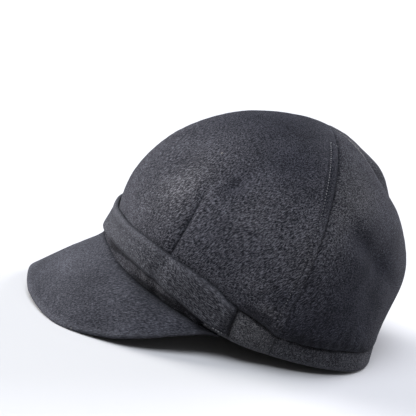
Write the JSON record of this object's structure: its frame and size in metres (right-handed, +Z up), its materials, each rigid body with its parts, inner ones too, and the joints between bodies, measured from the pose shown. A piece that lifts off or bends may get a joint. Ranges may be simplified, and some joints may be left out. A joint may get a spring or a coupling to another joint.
{
  "type": "peaked cap",
  "caption": "Soft peaked cap in charcoal felted wool, with a deep rounded crown of sewn panels, a strap above the drooping peak and a turned-up hem.",
  "frame": {"origin": "on the table, under the middle of the cap's whole length and width, the peak included", "axes": "+X towards the front of the peak, +Y to the wearer's left, +Z up as the cap rests on the back of its hem and on the peak's two front corners"},
  "size_m": [0.2601, 0.1967, 0.1552],
  "materials": {
    "crown_wool": "felted charcoal wool with a short mottled nap",
    "brim_wool": "felted charcoal wool pulled smooth over a stiffener",
    "band_wool": "felted charcoal wool, folded",
    "hem_wool": "felted charcoal wool, turned up on itself"
  },
  "bodies": {
    "root": {"crown_front": "crown_wool", "crown_back_left": "crown_wool", "crown_back_right": "crown_wool", "brim": "brim_wool", "front_band": "band_wool", "side_hem_left": "hem_wool", "side_hem_right": "hem_wool", "back_hem": "hem_wool"}
  },
  "joints": []
}
